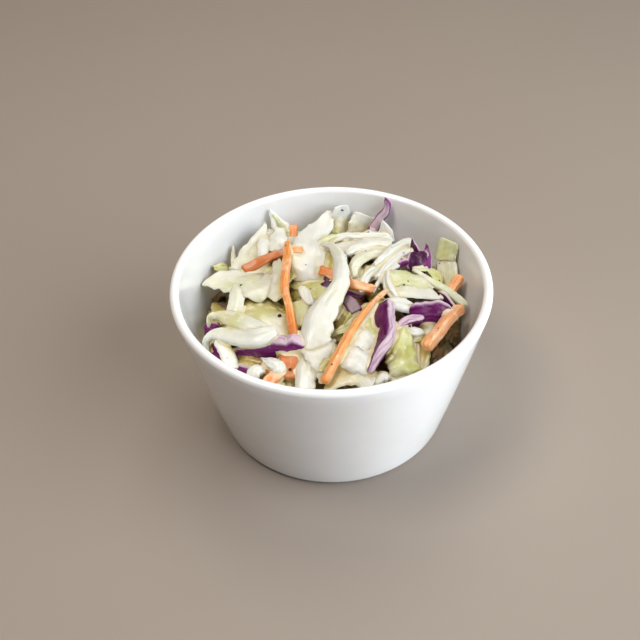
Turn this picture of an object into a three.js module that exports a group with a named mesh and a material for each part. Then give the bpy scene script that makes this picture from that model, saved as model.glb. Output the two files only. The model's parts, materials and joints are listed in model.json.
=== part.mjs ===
// A side serving of coleslaw in its own small porcelain cup.
//
// The cup is one turned piece: a flared wall with a rounded lip, on a low foot ring.
// The coleslaw is one solid heap that fills the cup to below the lip. Its top is a mound,
// higher in the middle than along the wall, with a ridge wherever a shred lies across it.
// Millimetres, +Z up, the origin at the middle of the foot, on the table.

import * as THREE from "three";

// Cup
const RIM_RADIUS = 50;
const CUP_HEIGHT = 54;
const FOOT_RADIUS = 37.5;
const WALL = 3;
const WALL_BULGE = 0.3; // how far the outer wall stands out beyond a straight cone
const FLOOR_TOP = 4.5;
const HEEL_ROUND = 2.2; // where the wall turns under to the foot
const FLOOR_ROUND = 7; // inside, where the wall meets the floor
const FOOT_RING_INNER = 30.5;
const FOOT_RECESS = 1; // depth of the hollow inside the foot ring
const CUP_SEGMENTS = 80;

// Coleslaw
const FIT_GAP = 0.3; // between the heap and the cup
const HEAP_MIDDLE = 45.5;
const HEAP_EDGE = 37;
const HEAP_SHOULDER = 2.6; // power of the mound: larger is flatter in the middle
const HEAP_SEGMENTS = 80;
const HEAP_RINGS = 15;
const RIDGE_COUNT = 34;
const RIDGE_LENGTH = 30;
const RIDGE_WIDTH = 8;
const RIDGE_HEIGHT = 3.2;

const LIP_ROUND = WALL / 2;
const WALL_SLOPE = (RIM_RADIUS - FOOT_RADIUS) / CUP_HEIGHT;

// Radius of the cup's inner wall at a height, before the floor's rounding.
function innerRadius(z) {
  return RIM_RADIUS - WALL - WALL_SLOPE * (CUP_HEIGHT - z);
}

// The cup's section, from the axis under the foot, out, up, over the lip and back in.
function cupSection() {
  const heelOut = FOOT_RADIUS + WALL_SLOPE * HEEL_ROUND;
  const lipCentre = CUP_HEIGHT - LIP_ROUND;
  const section = new THREE.Path();
  section.moveTo(0, FOOT_RECESS);
  section.lineTo(FOOT_RING_INNER, FOOT_RECESS);
  section.lineTo(FOOT_RING_INNER + FOOT_RECESS, 0);
  section.lineTo(FOOT_RADIUS - HEEL_ROUND, 0);
  section.quadraticCurveTo(FOOT_RADIUS, 0, heelOut, HEEL_ROUND);
  section.quadraticCurveTo(
    (heelOut + RIM_RADIUS) / 2 + 2 * WALL_BULGE,
    (HEEL_ROUND + lipCentre) / 2,
    RIM_RADIUS,
    lipCentre,
  );
  section.absarc(RIM_RADIUS - LIP_ROUND, lipCentre, LIP_ROUND, 0, Math.PI, false);
  section.lineTo(innerRadius(FLOOR_TOP + FLOOR_ROUND), FLOOR_TOP + FLOOR_ROUND);
  section.quadraticCurveTo(
    innerRadius(FLOOR_TOP),
    FLOOR_TOP,
    innerRadius(FLOOR_TOP) - FLOOR_ROUND,
    FLOOR_TOP,
  );
  section.lineTo(0, FLOOR_TOP);
  return section.getPoints(7);
}

// The heap's section below its top: out over the floor and up along the wall.
function heapSides() {
  const floor = FLOOR_TOP + FIT_GAP;
  const section = new THREE.Path();
  section.moveTo(0, floor);
  section.lineTo(innerRadius(floor) - FLOOR_ROUND - FIT_GAP, floor);
  section.quadraticCurveTo(
    innerRadius(floor) - FIT_GAP,
    floor,
    innerRadius(floor + FLOOR_ROUND) - FIT_GAP,
    floor + FLOOR_ROUND,
  );
  section.lineTo(innerRadius(HEAP_EDGE) - FIT_GAP, HEAP_EDGE);
  return section.getPoints(5);
}

// The mound's height at a distance from the middle.
function moundHeight(radius) {
  const share = radius / innerRadius(HEAP_EDGE);
  return HEAP_MIDDLE - (HEAP_MIDDLE - HEAP_EDGE) * share ** HEAP_SHOULDER;
}

// Shreds lie in every direction: the golden angle spreads them evenly without a pattern.
const GOLDEN_ANGLE = Math.PI * (3 - Math.sqrt(5));
const ridges = Array.from({ length: RIDGE_COUNT }, (_, i) => {
  const reach = 0.86 * innerRadius(HEAP_EDGE) * Math.sqrt((i + 0.5) / RIDGE_COUNT);
  return {
    x: reach * Math.cos(i * GOLDEN_ANGLE),
    y: reach * Math.sin(i * GOLDEN_ANGLE),
    heading: i * 1.9,
    length: RIDGE_LENGTH * (0.75 + 0.25 * Math.sin(i * 2.3)),
    width: RIDGE_WIDTH * (0.85 + 0.2 * Math.cos(i * 1.7)),
    height: RIDGE_HEIGHT * (0.7 + 0.3 * Math.sin(i * 3.1)),
  };
});

// 1 in the middle of a shred's length or width, falling smoothly to 0 at its edge.
function swell(distance, span) {
  const share = Math.min(1, Math.abs(distance) / (span / 2));
  return Math.cos((share * Math.PI) / 2);
}

// How far the shreds stand up from the mound at a point.
function shredRelief(x, y) {
  let relief = 0;
  for (const ridge of ridges) {
    const dx = x - ridge.x;
    const dy = y - ridge.y;
    const along = dx * Math.cos(ridge.heading) + dy * Math.sin(ridge.heading);
    const across = dy * Math.cos(ridge.heading) - dx * Math.sin(ridge.heading);
    relief = Math.max(
      relief,
      ridge.height * swell(along, ridge.length) * swell(across, ridge.width),
    );
  }
  return relief;
}

// The heap: a turned body whose top is then raised by the shreds that lie on it.
function heapGeometry() {
  const profile = heapSides();
  const sidePoints = profile.length;
  const edgeRadius = innerRadius(HEAP_EDGE) - FIT_GAP;
  for (let ring = 1; ring <= HEAP_RINGS; ring++) {
    const radius = edgeRadius * (1 - ring / HEAP_RINGS);
    profile.push(new THREE.Vector2(radius, moundHeight(radius)));
  }
  const geometry = new THREE.LatheGeometry(profile, HEAP_SEGMENTS);
  const position = geometry.getAttribute("position");
  for (let i = 0; i < position.count; i++) {
    if (i % profile.length < sidePoints) continue;
    const raised = shredRelief(position.getX(i), position.getZ(i));
    position.setY(i, position.getY(i) + raised);
  }
  return geometry;
}

// A lathe turns its profile about Y, so each turned piece is stood up on its foot.
function turnedPiece(name, geometry, material) {
  const mesh = new THREE.Mesh(geometry, material);
  mesh.name = name;
  mesh.rotation.x = Math.PI / 2;
  return mesh;
}

const porcelain = new THREE.MeshStandardMaterial({
  color: 0xf2f1ee,
  roughness: 0.18,
  metalness: 0,
});
const dressedCabbage = new THREE.MeshStandardMaterial({
  color: 0xe4e2c4,
  roughness: 0.45,
  metalness: 0,
});

const serving = new THREE.Group();
serving.add(
  turnedPiece("cup", new THREE.LatheGeometry(cupSection(), CUP_SEGMENTS), porcelain),
  turnedPiece("coleslaw", heapGeometry(), dressedCabbage),
);

export default serving;
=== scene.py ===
"""A side serving of coleslaw in its small white porcelain cup, with the looks of every piece.

Metres, +Z up, the origin at the middle of the foot, on the table.
"""

import json
import math
from collections import namedtuple
from functools import partial

import bpy
import numpy as np
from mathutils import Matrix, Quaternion, Vector

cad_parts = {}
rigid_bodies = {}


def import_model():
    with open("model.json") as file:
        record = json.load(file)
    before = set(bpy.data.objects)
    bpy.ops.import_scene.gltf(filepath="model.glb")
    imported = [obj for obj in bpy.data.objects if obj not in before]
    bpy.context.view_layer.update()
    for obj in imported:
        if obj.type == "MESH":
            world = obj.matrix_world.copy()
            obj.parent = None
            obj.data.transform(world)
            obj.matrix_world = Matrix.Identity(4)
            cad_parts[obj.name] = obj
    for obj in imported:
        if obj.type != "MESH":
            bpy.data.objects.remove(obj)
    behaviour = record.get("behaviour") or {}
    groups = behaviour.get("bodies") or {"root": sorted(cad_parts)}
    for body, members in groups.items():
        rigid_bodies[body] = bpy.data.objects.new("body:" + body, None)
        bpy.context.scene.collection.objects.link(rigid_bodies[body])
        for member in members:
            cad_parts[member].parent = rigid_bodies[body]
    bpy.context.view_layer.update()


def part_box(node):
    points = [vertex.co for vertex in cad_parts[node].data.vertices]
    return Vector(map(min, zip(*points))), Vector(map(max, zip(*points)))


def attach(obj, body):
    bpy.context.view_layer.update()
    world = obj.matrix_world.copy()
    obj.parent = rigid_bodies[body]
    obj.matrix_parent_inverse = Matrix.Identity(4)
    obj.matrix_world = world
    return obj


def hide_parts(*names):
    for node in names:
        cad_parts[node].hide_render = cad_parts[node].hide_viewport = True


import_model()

MM = 0.001

# ---- Camera ----
# A 59 mm lens looks down into the cup from in front, 43 degrees above the table. The camera
# leans a degree and a half to one side.
CAMERA_PLACE = Vector((0, -249.7, 262.8)) * MM
CAMERA_AIM = Vector((-3.7, 0, 36.6)) * MM
CAMERA_LENS = 59.06
CAMERA_LEAN = math.radians(-1.5)

bpy.ops.object.select_all(action="DESELECT")
bpy.ops.object.camera_add(location=CAMERA_PLACE)
camera = bpy.context.object
level = (CAMERA_AIM - CAMERA_PLACE).to_track_quat("-Z", "Y")
camera.rotation_euler = (level @ Quaternion((0, 0, 1), CAMERA_LEAN)).to_euler()
camera.data.lens = CAMERA_LENS
camera.data.clip_start = 0.01
bpy.context.scene.camera = camera

# ---- Light ----
# A large soft window of light low on the right, two weaker ones high up, on the left and
# behind, and a strip that stands on the table on the right and lights only the outside.
LIGHTS = {
    # name: place, width and height, watts, colour
    "window_right": ((0.592, -0.278, 0.365), (0.82, 0.82), 8.2, (0.9, 0.95, 1.0)),
    "window_left": ((-0.28, -0.1, 0.79), (0.3, 0.3), 3.4, (1.0, 0.92, 0.84)),
    "window_behind": ((0.0, 0.359, 0.77), (0.5, 0.5), 2.7, (1.0, 0.94, 0.82)),
    "strip_right": ((0.575, -0.05, 0.026), (0.4, 0.04), 1.6, (0.9, 0.95, 1.0)),
}
GLOW_COLOUR = (1.0, 0.9, 0.8, 1.0)
GLOW_STRENGTH = 0.01

for name, (place, size, watts, colour) in LIGHTS.items():
    bpy.ops.object.light_add(type="AREA", location=place)
    light = bpy.context.object
    light.name = name
    light.rotation_euler = (-Vector(place)).to_track_quat("-Z", "Y").to_euler()
    light.data.shape = "RECTANGLE"
    light.data.size, light.data.size_y = size
    light.data.energy = watts
    light.data.color = colour

glow = bpy.data.worlds.new("glow")
glow.use_nodes = True
glow.node_tree.nodes["Background"].inputs["Color"].default_value = GLOW_COLOUR
glow.node_tree.nodes["Background"].inputs["Strength"].default_value = GLOW_STRENGTH
bpy.context.scene.world = glow
bpy.context.scene.view_settings.view_transform = "Standard"

# ---- Floor ----
# A plain pale table top, smooth and without gloss.
FLOOR_SIDE = 6.0
FLOOR_COLOUR = "9B9086"
FLOOR_CLOUDS = "91867C"


def colour(code):
    """The linear colour of a six-figure colour code."""
    parts = [int(code[i : i + 2], 16) / 255 for i in (0, 2, 4)]
    linear = [c / 12.92 if c <= 0.04045 else ((c + 0.055) / 1.055) ** 2.4 for c in parts]
    return (*linear, 1.0)


class Wire:
    """One output in a material. Sums with it add Math nodes, so shader maths reads as sums."""

    def __init__(self, socket):
        self.socket = socket
        self.tree = socket.id_data

    def node(self, kind, settings=None, sockets=None, output=0):
        """Any node of this material: its settings, then the values or wires of its sockets."""
        new = self.tree.nodes.new(kind)
        for key, value in (settings or {}).items():
            setattr(new, key, value)
        for key, value in (sockets or {}).items():
            if isinstance(value, Wire):
                self.tree.links.new(value.socket, new.inputs[key])
            else:
                new.inputs[key].default_value = value
        return Wire(new.outputs[output])

    def sum(self, operation, left, right):
        return self.node("ShaderNodeMath", {"operation": operation}, {0: left, 1: right})

    def __add__(self, other):
        return self.sum("ADD", self, other)

    def __sub__(self, other):
        return self.sum("SUBTRACT", self, other)

    def __rsub__(self, other):
        return self.sum("SUBTRACT", other, self)

    def __mul__(self, other):
        return self.sum("MULTIPLY", self, other)

    __radd__ = __add__
    __rmul__ = __mul__

    def band(self, low, high):
        """0 up to low, 1 from high, and a smooth rise between them."""
        settings = {"interpolation_type": "SMOOTHSTEP"}
        return self.node("ShaderNodeMapRange", settings, {0: self, 1: low, 2: high})

    def paint(self, code):
        """One plain colour, as a wire of the same material."""
        plain = self.node("ShaderNodeRGB")
        plain.socket.default_value = colour(code)
        return plain

    def mixed(self, other, share, how="MIX"):
        """This colour with a share of another wire or colour code, over it or multiplied."""
        if isinstance(other, str):
            other = colour(other)
        settings = {"data_type": "RGBA", "blend_type": how}
        sockets = {"Factor": share, 6: self, 7: other}
        return self.node("ShaderNodeMix", settings, sockets, output=2)

    def ramp(self, stops):
        """The colour that belongs to this value, between the stops of {value: colour code}."""
        wire = self.node("ShaderNodeValToRGB", {}, {"Fac": self})
        elements = wire.socket.node.color_ramp.elements
        while len(elements) < len(stops):
            elements.new(0.5)
        for element, value in zip(elements, sorted(stops)):
            element.position = value
            element.color = colour(stops[value])
        return wire


def finish_of(name, **constants):
    """A new material, with the constants set on its Principled shader."""
    material = bpy.data.materials.new(name)
    material.use_nodes = True
    shader = material.node_tree.nodes["Principled BSDF"]
    for key, value in constants.items():
        shader.inputs[key.replace("_", " ")].default_value = value
    return material, shader


def connect(shader, **wires):
    """Feeds the shader's sockets from wires."""
    for key, wire in wires.items():
        shader.id_data.links.new(wire.socket, shader.inputs[key.replace("_", " ")])


def place_of(shader):
    """The wire that gives a point's place in the piece's own space, in metres."""
    start = Wire(shader.outputs[0])
    return start.node("ShaderNodeTexCoord", output="Object")


def noise(place, scale, detail=2.0, roughness=0.5):
    """Soft noise at a place, with so many blotches a metre."""
    sockets = {"Vector": place, "Scale": scale, "Detail": detail, "Roughness": roughness}
    return place.node("ShaderNodeTexNoise", {}, sockets)


def bump(height, distance, strength=1.0):
    """A normal that stands a surface up by a height, times a distance in metres."""
    sockets = {"Height": height, "Distance": distance, "Strength": strength}
    return height.node("ShaderNodeBump", {}, sockets)


bpy.ops.mesh.primitive_plane_add(size=FLOOR_SIDE)
floor = bpy.context.object
floor.name = "table_top"
floor_finish, shader = finish_of("table_top", Roughness=0.75)
place = place_of(shader)
grain = noise(place, 9.0, 3.0)
connect(shader, Base_Color=grain.paint(FLOOR_COLOUR).mixed(FLOOR_CLOUDS, grain * 0.5))
floor.data.materials.append(floor_finish)

# ---- Cup ----
# One thrown piece of white porcelain: a flared wall with a full round lip, on a low foot ring.
# It is glazed all over but for the flat of the foot ring, which is bare and slightly rough.
cup_low, cup_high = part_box("cup")
RIM_RADIUS = cup_high.x
CUP_HEIGHT = cup_high.z
FOOT_RADIUS = 37.5 * MM
WALL = 3 * MM
WALL_BULGE = 0.3 * MM
FLOOR_TOP = 4.5 * MM
HEEL_ROUND = 2.2 * MM
FLOOR_ROUND = 7 * MM
FOOT_RING_INNER = 30.5 * MM
FOOT_RECESS = 1 * MM
CUP_SIDES = 160
TURN_STEPS = 6
WALL_STEPS = 12
LIP_STEPS = 10
CRISP_ANGLE = math.radians(50)  # edges sharper than this stay crisp
LIP_ROUND = WALL / 2
WALL_SLOPE = (RIM_RADIUS - FOOT_RADIUS) / CUP_HEIGHT
GLAZE = "F8FAFB"
GLAZE_CLOUDS = "F1F1EE"
BARE_CLAY = "DDD6CA"


def inner_radius(height):
    """Radius of the cup's inner wall at a height, above the floor's rounding."""
    return RIM_RADIUS - WALL - WALL_SLOPE * (CUP_HEIGHT - height)


def curve(start, middle, end, steps):
    """Points of a smooth turn from start to end, without start, pulled towards middle."""
    points = []
    for step in range(1, steps + 1):
        t = step / steps
        weights = ((1 - t) ** 2, 2 * t * (1 - t), t * t)
        ends = zip(start, middle, end)
        points.append(tuple(sum(w * v for w, v in zip(weights, axis)) for axis in ends))
    return points


def cup_section():
    """The rings of the cup as (radius, height), from under the foot, over the lip and in."""
    heel_out = FOOT_RADIUS + WALL_SLOPE * HEEL_ROUND
    lip_centre = CUP_HEIGHT - LIP_ROUND
    lip_middle = RIM_RADIUS - LIP_ROUND
    rings = [(FOOT_RING_INNER, FOOT_RECESS), (FOOT_RING_INNER + FOOT_RECESS, 0)]
    flat_edge = (FOOT_RADIUS - HEEL_ROUND, 0)
    rings.append(flat_edge)
    rings += curve(flat_edge, (FOOT_RADIUS, 0), (heel_out, HEEL_ROUND), TURN_STEPS)
    belly = ((heel_out + RIM_RADIUS) / 2 + 2 * WALL_BULGE, (HEEL_ROUND + lip_centre) / 2)
    rings += curve(rings[-1], belly, (RIM_RADIUS, lip_centre), WALL_STEPS)
    for step in range(1, LIP_STEPS + 1):
        angle = math.pi * step / LIP_STEPS
        out, up = LIP_ROUND * math.cos(angle), LIP_ROUND * math.sin(angle)
        rings.append((lip_middle + out, lip_centre + up))
    turn_top = FLOOR_TOP + FLOOR_ROUND
    rings.append((inner_radius(turn_top), turn_top))
    corner = inner_radius(FLOOR_TOP)
    rings += curve(
        rings[-1], (corner, FLOOR_TOP), (corner - FLOOR_ROUND, FLOOR_TOP), TURN_STEPS
    )
    return rings


def turned(name, rings, sides):
    """A body turned about the cup's axis: each ring is the last one, extruded and scaled."""
    radius, height = rings[0]
    bpy.ops.object.select_all(action="DESELECT")
    bpy.ops.mesh.primitive_circle_add(
        vertices=sides, radius=radius, fill_type="NGON", location=(0, 0, height)
    )
    piece = bpy.context.object
    piece.name = name
    bpy.ops.object.mode_set(mode="EDIT")
    bpy.ops.mesh.select_all(action="SELECT")
    for next_radius, next_height in rings[1:]:
        rise = {"value": (0, 0, next_height - height)}
        grow = next_radius / radius
        bpy.ops.mesh.extrude_region_move(TRANSFORM_OT_translate=rise)
        bpy.ops.transform.resize(value=(grow, grow, 1), center_override=(0, 0, 0))
        radius, height = next_radius, next_height
    bpy.ops.mesh.select_all(action="SELECT")
    bpy.ops.mesh.normals_make_consistent(inside=False)
    bpy.ops.object.mode_set(mode="OBJECT")
    bpy.ops.object.transform_apply(location=True, rotation=True, scale=True)
    bpy.ops.object.shade_smooth_by_angle(angle=CRISP_ANGLE)
    return piece


cup = turned("porcelain_cup", cup_section(), CUP_SIDES)

glaze, shader = finish_of(
    "porcelain",
    Roughness=0.12,
    Coat_Weight=0.35,
    Coat_Roughness=0.06,
    Subsurface_Weight=0.12,
    Subsurface_Scale=0.002,
)
place = place_of(shader)
height = place.node("ShaderNodeSeparateXYZ", {}, {0: place}, output=2)
bare = 1 - height.band(0.1 * MM, 0.4 * MM)
cloud = noise(place, 34.0, 3.0)
speck = noise(place, 900.0, 1.0)
body = cloud.paint(GLAZE).mixed(GLAZE_CLOUDS, cloud.band(0.45, 0.8) * 0.5)
connect(
    shader,
    Base_Color=body.mixed(BARE_CLAY, bare),
    Roughness=cloud * 0.08 + bare * 0.5 + 0.1,
    Normal=bump(cloud + speck * (bare * 0.6 + 0.01), 0.6 * MM, 0.5),
)
cup.data.materials.append(glaze)
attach(cup, "root")
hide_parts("cup")

# ---- Heap core ----
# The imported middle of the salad, under the shreds that can be seen. It is chopped cabbage
# clotted with dressing, so it is one lumpy body that fills the cup to well below the lip.
HEAP_MIDDLE = 45.5 * MM
HEAP_EDGE = 37 * MM
HEAP_SHOULDER = 2.6
HEAP_RADIUS = inner_radius(HEAP_EDGE)
CORE_DROP = 9 * MM
CORE_GAP = 0.4 * MM
CORE_SIDES = 96
CORE_RINGS = 24
CORE_TURN_STEPS = 5
CORE_LUMPS = 1.6 * MM
BIG_LUMP = 9 * MM
SMALL_LUMP = 4 * MM
# The clots' base colour is a darker olive cream: painted shade for salad that lies under the shreds.
SHADED_CLOTS = "CFC9A4"
CLOTS_GREEN = "A8A266"
CLOTS_CREAM = "E4E0C8"


def mound(radius):
    """Height of the heap at a distance from the middle, or at an array of distances."""
    share = np.minimum(1, radius / HEAP_RADIUS)
    return HEAP_MIDDLE - (HEAP_MIDDLE - HEAP_EDGE) * share**HEAP_SHOULDER


def core_section():
    """The rings of the core, from the cup's floor up the wall and in to the middle."""
    base = FLOOR_TOP + CORE_GAP
    edge = HEAP_EDGE - CORE_DROP
    reach = inner_radius(base) - FLOOR_ROUND - CORE_GAP
    rings = [(reach, base)]
    turn_end = (inner_radius(base + FLOOR_ROUND) - CORE_GAP, base + FLOOR_ROUND)
    rings += curve(rings[0], (inner_radius(base) - CORE_GAP, base), turn_end, CORE_TURN_STEPS)
    edge_radius = inner_radius(edge) - CORE_GAP
    rings.append((edge_radius, edge))
    for ring in range(1, CORE_RINGS):
        radius = edge_radius * (1 - ring / CORE_RINGS)
        rings.append((radius, float(mound(radius)) - CORE_DROP))
    return rings


def ripple(x, y, pitch, seed):
    """Smooth unevenness from -1 to 1 over a plane, with lumps about one pitch apart."""
    total = 0
    for turn in range(4):
        angle = seed * 1.3 + turn * 2.4
        run = (x * math.cos(angle) + y * math.sin(angle)) * 2 * math.pi / pitch
        total = total + np.sin(run * (0.8 + 0.17 * turn) + seed * (turn + 1.7))
    return total / 4


def points_of(piece):
    """The places of a piece's points, one row each."""
    places = np.empty(len(piece.data.vertices) * 3, np.float32)
    piece.data.vertices.foreach_get("co", places)
    return places.reshape(-1, 3)


core = turned("salad_core", core_section(), CORE_SIDES)
places = points_of(core)
x, y, z = places.T
top = z > HEAP_EDGE - CORE_DROP - 0.1 * MM
inward = 1 - np.hypot(x, y) / HEAP_RADIUS
lumps = ripple(x, y, BIG_LUMP, 3) + 0.6 * ripple(x, y, SMALL_LUMP, 8)
z += top * lumps * CORE_LUMPS * np.clip(inward * 6, 0, 1)
core.data.vertices.foreach_set("co", places.ravel())
core.data.update()

packed, shader = finish_of(
    "packed_salad",
    Subsurface_Weight=0.3,
    Subsurface_Scale=0.002,
    Subsurface_Radius=(1.0, 0.9, 0.4),
)
place = place_of(shader)
clots = noise(place, 260.0, 4.0, 0.6)
patches = noise(place, 90.0, 2.0)
# Painted shade in the base colour of the clots.
shade = clots.paint(SHADED_CLOTS).mixed(CLOTS_GREEN, patches.band(0.4, 0.65))
connect(
    shader,
    Base_Color=shade.mixed(CLOTS_CREAM, clots.band(0.5, 0.7)),
    Roughness=clots * 0.3 + 0.3,
    Normal=bump(clots, 1.2 * MM),
)
core.data.materials.append(packed)
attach(core, "root")
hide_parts("coleslaw")

# ---- Loose shreds ----
# Machine-cut cabbage and carrot, a few millimetres wide. Ribs, leaves and sticks are modelled as
# straight blanks, and every shred is a copy of one, cut to its own width and bent along its own
# route. Loose shreds are laid from the core up, each one where the heap is lowest, on whatever
# lies under it.
LOOSE_SEED = 7
LONG_EDGE = 0.3  # a blank is one unit each way, and the edges of its bevels are shorter
PARALLEL = 0.999  # the least share of an edge's length that lies along the axis it follows
random = np.random.default_rng(LOOSE_SEED)


def blank(name, stations, columns, rounding, round_steps=2):
    """A straight shred, one unit long, wide and thick, as (points, faces)."""
    bpy.ops.object.select_all(action="DESELECT")
    bpy.ops.mesh.primitive_cube_add(size=1, location=(0.5, 0, 0))
    piece = bpy.context.object
    piece.name = name
    bpy.ops.object.transform_apply(location=True)
    mesh = piece.data

    def select_edges(axis):
        bpy.ops.object.mode_set(mode="OBJECT")
        for edge in mesh.edges:
            a, b = (mesh.vertices[v].co for v in edge.vertices)
            line = b - a
            along = abs(line[axis]) > PARALLEL * line.length
            edge.select = along and line.length > LONG_EDGE
        bpy.ops.object.mode_set(mode="EDIT")

    bpy.ops.object.mode_set(mode="EDIT")
    bpy.ops.mesh.select_mode(type="EDGE")
    bpy.ops.mesh.select_all(action="DESELECT")
    select_edges(0)
    bpy.ops.mesh.bevel(offset=rounding, segments=round_steps, affect="EDGES")
    bpy.ops.mesh.select_all(action="DESELECT")
    select_edges(0)
    bpy.ops.mesh.subdivide(number_cuts=stations - 1)
    if columns > 1:
        bpy.ops.mesh.select_all(action="DESELECT")
        select_edges(1)
        bpy.ops.mesh.subdivide(number_cuts=columns - 1)
    bpy.ops.mesh.select_all(action="SELECT")
    bpy.ops.mesh.normals_make_consistent(inside=False)
    bpy.ops.object.mode_set(mode="OBJECT")
    points = np.array([v.co for v in mesh.vertices]) * (1, 2, 2)
    points[:, 0] = (1 - np.cos(np.clip(points[:, 0], 0, 1) * math.pi)) / 2
    faces = [tuple(f.vertices) for f in mesh.polygons]
    bpy.data.objects.remove(piece)
    return points, faces


ROUTE_FINENESS = 24  # points between two points of a route, on the way to even spacing


def along_route(route, count):
    """So many points evenly spaced on a smooth line through the route's points."""
    ends = [2 * route[0] - route[1], *route, 2 * route[-1] - route[-2]]
    ends = np.array(ends, float)
    fine = []
    for i in range(1, len(ends) - 2):
        a, b, c, d = ends[i - 1 : i + 3]
        t = np.linspace(0, 1, ROUTE_FINENESS, endpoint=False)[:, None]
        swing = (2 * a - 5 * b + 4 * c - d) * t**2
        fine.append(0.5 * (2 * b + (c - a) * t + swing + (3 * b - a - 3 * c + d) * t**3))
    fine = np.concatenate([*fine, ends[-2:-1]])
    walked = np.concatenate([[0], np.cumsum(np.linalg.norm(np.diff(fine, axis=0), axis=1))])
    at = np.linspace(0, walked[-1], count)
    return np.stack([np.interp(at, walked, fine[:, k]) for k in range(3)], 1), walked[-1]


def spread(values, at):
    """Values given at even steps along a shred, read smoothly at shares of its length."""
    values = np.atleast_1d(np.array(values, float))
    if len(values) == 1:
        return np.full(len(at), values[0])
    return np.interp(at, np.linspace(0, 1, len(values)), values)


def unit(vectors):
    return vectors / np.maximum(1e-12, np.linalg.norm(vectors, axis=-1, keepdims=True))


SHRED_STEPS = 64  # points along a shred's route
EVENING_ROUNDS = 6  # rounds that even out which way is across it
SHRED_LUMPS = 0.09 * MM
THICKNESS_SHARE = 0.15  # how uneven the thickness is
FOLDS = 2
SWAY = 7  # how far a shred rocks from side to side along its route, in degrees

# How far apart the swings of each unevenness lie along a shred.
SWAY_PITCH = 13 * MM
EDGE_PITCH = 7 * MM
NICK_PITCH = 2.3 * MM
THICKNESS_PITCH = 6 * MM
WAVE_PITCH = 8 * MM
FRILL_PITCH = 5 * MM
FOLD_PITCH = 12 * MM
FOLD_HEIGHT_PITCH = 9 * MM
LUMP_PITCH = 2.6 * MM
TORN_PITCH = 1.1 * MM


def bent(
    shape, route, wide, thick, turn=0, cup=0, wave=0, frill=0, ragged=0.1, crease=0,
    torn=0.8 * MM, sharp=0.3, ends=0.9 * MM, up=(0, 0, 1), seed=0,
):
    """Copies a blank along a route. Width, thickness and turn are values at even steps.

    Turn is in degrees about the route. Cup is how far the middle stands above the edges, as a
    share of the width. Wave and frill are the heights of ripples all over and along the edges,
    crease is the height of its lengthwise folds, ragged is how uneven the width is, torn how
    uneven its ends are, sharp how much it thins out to its edges, and ends is how far from its
    ends it starts to round off. Returns (points, faces, grain).
    """
    points, faces = shape
    line, length = along_route(np.array(route, float), SHRED_STEPS)
    tangent = unit(np.gradient(line, axis=0))
    across = unit(np.cross(np.array(up, float), tangent))
    for _ in range(EVENING_ROUNDS):
        across[1:-1] = unit((across[:-2] + across[1:-1] * 2 + across[2:]) / 4)
    across = unit(across - tangent * (across * tangent).sum(1, keepdims=True))
    normal = np.cross(tangent, across)
    shares = np.linspace(0, 1, SHRED_STEPS)
    sway = SWAY * ripple(shares * length, 0, SWAY_PITCH, seed + 9)
    angle = np.radians(spread(turn, shares) + sway)[:, None]
    side = across * np.cos(angle) + normal * np.sin(angle)
    face = normal * np.cos(angle) - across * np.sin(angle)

    x, y, z = points.T
    slant = 1.5 * ripple(seed * MM, 0, 3.7 * MM, 5) * y + ripple(y * MM, x * MM, TORN_PITCH, seed)
    to_end = np.abs(2 * x - 1) ** 4 * np.sign(2 * x - 1)
    at = (x + torn / length * slant * to_end) * (SHRED_STEPS - 1)
    low = np.clip(at.astype(int), 0, SHRED_STEPS - 2)
    part = (at - low)[:, None]

    def sample(values):
        return values[low] * (1 - part) + values[low + 1] * part

    run = x * length
    edge = np.sign(y)
    half = spread(wide, x) / 2
    long_waves = ripple(run, edge * 9, EDGE_PITCH, seed)
    nicks = ripple(run, edge * 5, NICK_PITCH, seed + 3)
    half = half * (1 + ragged * (long_waves + 0.8 * nicks))
    body = spread(thick, x) / 2
    body = body * (1 + THICKNESS_SHARE * ripple(run, y * 2 * MM, THICKNESS_PITCH, seed + 2))
    body = body * (1 - sharp * np.abs(y) ** 3)
    from_end = np.clip(np.minimum(run, length - run) / ends, 0, 1)
    rounded = np.sqrt(1 - (1 - from_end) ** 2)
    half = half * (0.55 + 0.45 * rounded)
    body = body * (0.35 + 0.65 * rounded)
    lift = cup * 2 * half * (1 - y * y) + wave * ripple(run, y * half, WAVE_PITCH, seed + 5)
    lift = lift + frill * np.abs(y) ** 2.5 * ripple(run, edge * 4, FRILL_PITCH, seed + 7)
    fold = FOLDS * (y + 0.3 * ripple(run, 0, FOLD_PITCH, seed + 1)) + seed
    folded = 0.6 + 0.4 * ripple(run, 0, FOLD_HEIGHT_PITCH, seed + 4)
    lift = lift + crease * np.cos(math.pi * fold) * folded
    lift = lift + SHRED_LUMPS * ripple(run, half * y + z * 5 * MM, LUMP_PITCH, seed + 6)
    place = sample(line) + sample(side) * (half * y)[:, None]
    place = place + sample(face) * (body * z + lift)[:, None]
    over = half * y + body * z
    grain = np.stack([run / MM + 37.0 * (seed % 50), over / MM + 11.0 * (seed % 7)], 1)
    return place, faces, grain


WALL_GAP = 0.3 * MM


def kept_in_cup(places):
    """Presses whatever would pass through the cup's wall back against it."""
    radius = np.hypot(places[:, 0], places[:, 1])
    limit = inner_radius(np.minimum(places[:, 2], CUP_HEIGHT - LIP_ROUND)) - WALL_GAP
    share = np.minimum(1, limit / np.maximum(radius, 1e-9))
    places = places.copy()
    places[:, :2] *= share[:, None]
    return places


# The height of the heap's top over every cell of a square grid. It rises as shreds are laid.
TOP_STEP = 0.6 * MM
TOP_CELLS = 168
cells = (np.arange(TOP_CELLS) - TOP_CELLS / 2 + 0.5) * TOP_STEP
cell_x, cell_y = np.meshgrid(cells, cells)
cell_r = np.hypot(cell_x, cell_y)
heap_top = mound(cell_r) - CORE_DROP


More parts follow.
